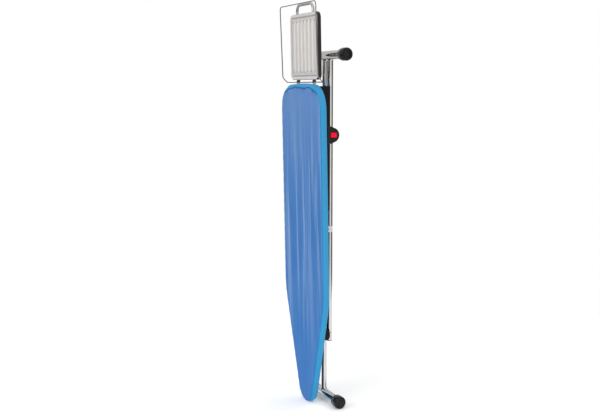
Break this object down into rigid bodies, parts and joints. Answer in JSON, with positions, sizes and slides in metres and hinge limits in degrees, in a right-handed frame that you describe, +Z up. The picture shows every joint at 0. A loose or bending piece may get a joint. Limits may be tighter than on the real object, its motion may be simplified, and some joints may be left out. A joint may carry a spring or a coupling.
{
  "type": "ironing board",
  "caption": "Folded ironing board standing on its nose: padded blue cover, chrome scissor legs, iron tray, wire linen rail and a side release button.",
  "frame": {"origin": "on the floor under the middle of the folded board's box, which stands on its nose and its lower foot", "axes": "+X across the board, +Y from the ironing surface to the legs, +Z up along the board from its nose to its square end"},
  "size_m": [0.3605, 0.1486, 1.4953],
  "materials": {
    "chrome": "bright chrome plate on steel tube and wire",
    "black_steel": "satin black powder coat",
    "black_plastic": "fine matt moulded",
    "red_plastic": "glossy moulded",
    "cover_cotton": "plain blue cotton, fine weave",
    "pad_felt": "needled felt",
    "tray_steel": "matt silver pressed sheet",
    "spring_steel": "drawn wire"
  },
  "bodies": {
    "board": {"cover": "cover_cotton", "pad": "pad_felt", "deck_panel": "black_steel", "rim_tube": "black_steel", "deck_bar_1": "black_steel", "deck_bar_2": "black_steel", "deck_bar_3": "black_steel", "deck_bar_4": "black_steel", "deck_bar_5": "black_steel", "deck_bar_6": "black_steel", "nose_bracket": "black_steel", "pivot_rivet_left": "black_steel", "pivot_rivet_right": "black_steel", "guide_rail_left": "black_steel", "guide_rail_right": "black_steel", "rail_stand_1": "black_steel", "rail_stand_2": "black_steel", "rest_u_rod": "chrome", "rest_clamp_left": "black_plastic", "rest_clamp_right": "black_plastic", "rest_block_left": "black_plastic", "rest_block_right": "black_plastic", "rest_tray": "tray_steel", "release_housing": "black_plastic", "housing_bracket": "black_steel", "latch_case": "black_plastic", "button_spring": "spring_steel"},
    "release_button": {"release_button": "red_plastic", "release_rod": "chrome"},
    "linen_rail": {"linen_rail": "chrome"},
    "outer_leg": {"outer_leg_tube_left": "chrome", "outer_leg_tube_right": "chrome", "outer_foot_tube": "chrome", "outer_foot_cap_left": "black_plastic", "outer_foot_cap_right": "black_plastic", "pivot_lug_left": "chrome", "pivot_lug_right": "chrome", "cross_lug_left": "chrome", "cross_lug_right": "chrome", "leg_plug_left": "black_plastic", "leg_plug_right": "black_plastic", "crossing_bolt": "black_steel", "crossing_nut": "black_steel"},
    "inner_leg": {"inner_leg_tube": "chrome", "inner_foot_tube": "chrome", "inner_foot_cap_left": "black_plastic", "inner_foot_cap_right": "black_plastic", "slider_block": "black_plastic", "slider_rod": "chrome", "slider_roller_left": "black_plastic", "slider_roller_right": "black_plastic"}
  },
  "joints": [
    {"name": "leg_fold", "type": "hinge", "parent": "board", "child": "outer_leg", "pos_m": [0, 0.034, 0.256], "axis": [-1, 0, 0], "range_deg": [0, 50]},
    {"name": "leg_crossing", "type": "hinge", "parent": "outer_leg", "child": "inner_leg", "pos_m": [0, 0.034, 0.663], "axis": [1, 0, 0], "range_deg": [0, 100]},
    {"name": "release_button_press", "type": "slide", "parent": "board", "child": "release_button", "axis": [-1, 0, 0], "range_m": [0, 0.006], "stiffness_N_per_m": 400, "springref_m": -0.004, "deforming": ["button_spring"]},
    {"name": "linen_rail_hinge", "type": "hinge", "parent": "board", "child": "linen_rail", "pos_m": [0, -0.04301, 1.20871], "axis": [1, 0, 0], "range_deg": [0, 90]}
  ],
  "couplings": [
    {"joint": "leg_crossing", "follows": "leg_fold", "ratio": 2}
  ]
}
